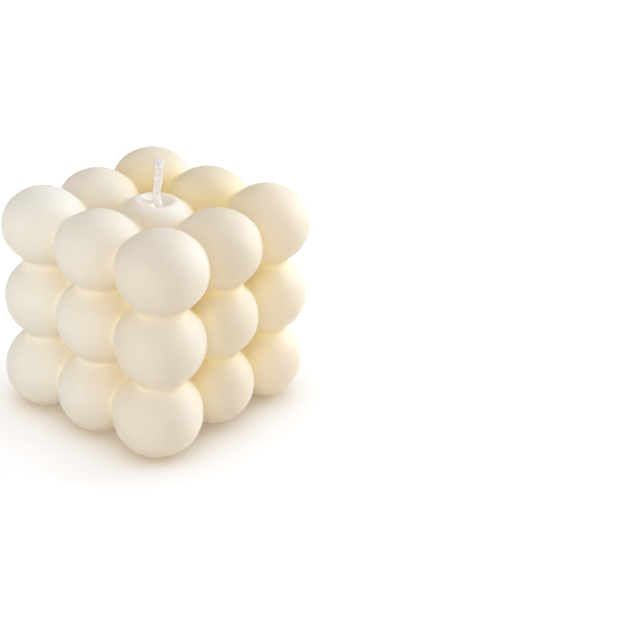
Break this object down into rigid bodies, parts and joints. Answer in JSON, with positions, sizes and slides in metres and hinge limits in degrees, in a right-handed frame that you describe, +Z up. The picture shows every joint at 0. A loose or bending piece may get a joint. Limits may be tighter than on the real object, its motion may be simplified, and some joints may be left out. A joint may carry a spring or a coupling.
{
  "type": "bubble cube candle",
  "caption": "Cube-shaped wax candle cast as a block of fused balls, with a short braided wick standing in a sunken hollow of the top centre ball.",
  "frame": {"origin": "centre of the underside, on the plane the candle stands on", "axes": "+Z up along the wick; the block's faces look along X and Y, and the pictured front corner is at +X -Y"},
  "size_m": [0.06, 0.06, 0.0652],
  "materials": {
    "wax": "satin, slightly translucent cream wax",
    "wick": "waxed braided cotton"
  },
  "bodies": {
    "root": {"candle_body": "wax", "wick": "wick"}
  },
  "joints": []
}
